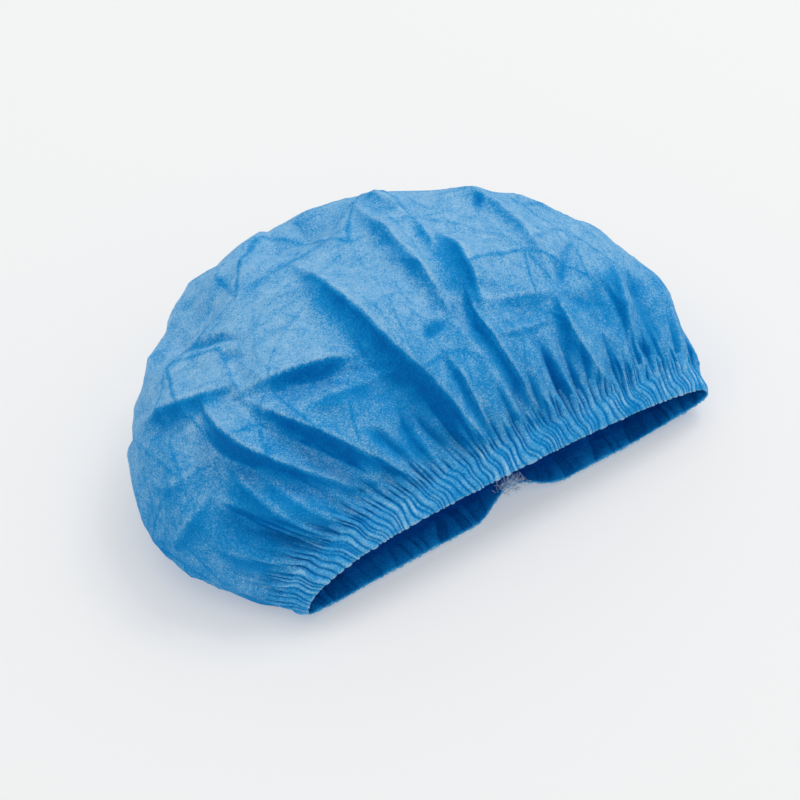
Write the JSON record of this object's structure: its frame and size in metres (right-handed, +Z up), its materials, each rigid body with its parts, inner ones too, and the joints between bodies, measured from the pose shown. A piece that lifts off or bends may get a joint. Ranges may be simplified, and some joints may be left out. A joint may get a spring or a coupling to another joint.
{
  "type": "disposable hairnet",
  "caption": "Blue non-woven bouffant hair cover lying on its side: hollow crumpled crown, gathered elastic hem, mouth open to the front.",
  "frame": {"origin": "middle of the base: centre of the bounding box at the table's height", "axes": "+X along the mouth, from its left end to its right as seen from the open side; -Y out of the mouth; +Z up from the table"},
  "size_m": [0.2802, 0.18, 0.1078],
  "materials": {
    "crown_cloth": "thin spun non-woven, matt, faint emboss dots, slightly see-through",
    "hem_cloth": "thin spun non-woven, tightly gathered, matt",
    "elastic_strip": "flat white elastic strip",
    "tack_fibres": "torn pale fibres"
  },
  "bodies": {
    "root": {"crown": "crown_cloth", "hem": "hem_cloth", "elastic": "elastic_strip", "hem_join": "tack_fibres"}
  },
  "joints": []
}
